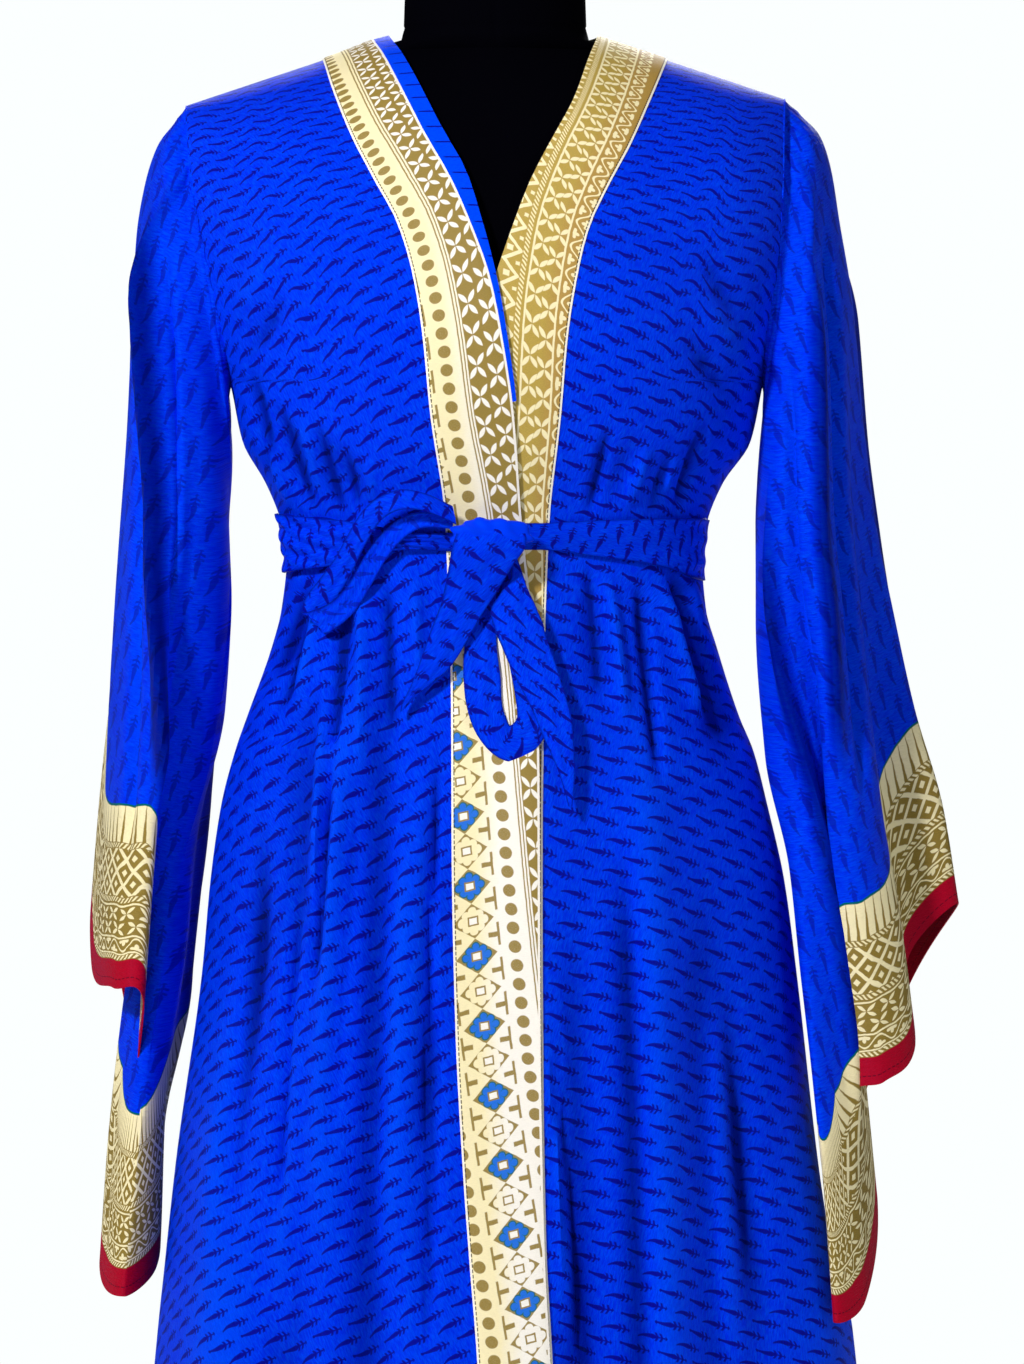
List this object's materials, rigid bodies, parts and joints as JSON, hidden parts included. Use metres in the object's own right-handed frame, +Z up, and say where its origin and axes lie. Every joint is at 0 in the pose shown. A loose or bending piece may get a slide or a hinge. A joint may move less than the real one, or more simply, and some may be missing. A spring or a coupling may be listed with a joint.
{
  "type": "kimono robe on a dress form",
  "caption": "Long wrap robe with printed front bands, wide bell sleeves and a tied belt, standing on a limbless dress form with a pole and a round base.",
  "frame": {"origin": "centre of the stand's underside", "axes": "+Z up, -Y out of the robe's front, +X towards the wearer's left side"},
  "size_m": [0.5667, 0.372, 1.4523],
  "materials": {
    "blue_silk": "soft satin crepe with a small darker print",
    "bordered_silk": "soft satin crepe, with a printed gold border and a red hem",
    "olive_border": "printed crepe border, cream and olive gold",
    "gold_border": "printed crepe border, cream and gold",
    "form_cloth": "matt black knit cover",
    "form_cap": "matt black",
    "stand_metal": "black powder coat"
  },
  "bodies": {
    "root": {"form_torso": "form_cloth", "form_neck_cap": "form_cap", "stand_pole": "stand_metal", "stand_base": "stand_metal", "robe_back": "blue_silk", "robe_front_right": "blue_silk", "band_right": "olive_border", "sleeve_right": "bordered_silk", "tie_right": "blue_silk", "robe_front_left": "blue_silk", "band_left": "gold_border", "sleeve_left": "bordered_silk", "tie_left": "blue_silk", "band_right_underside": "blue_silk", "bow_knot": "blue_silk", "bow_loop_side": "blue_silk", "bow_loop_low": "blue_silk", "bow_tail_broad": "blue_silk", "bow_tail_long": "blue_silk"}
  },
  "joints": []
}
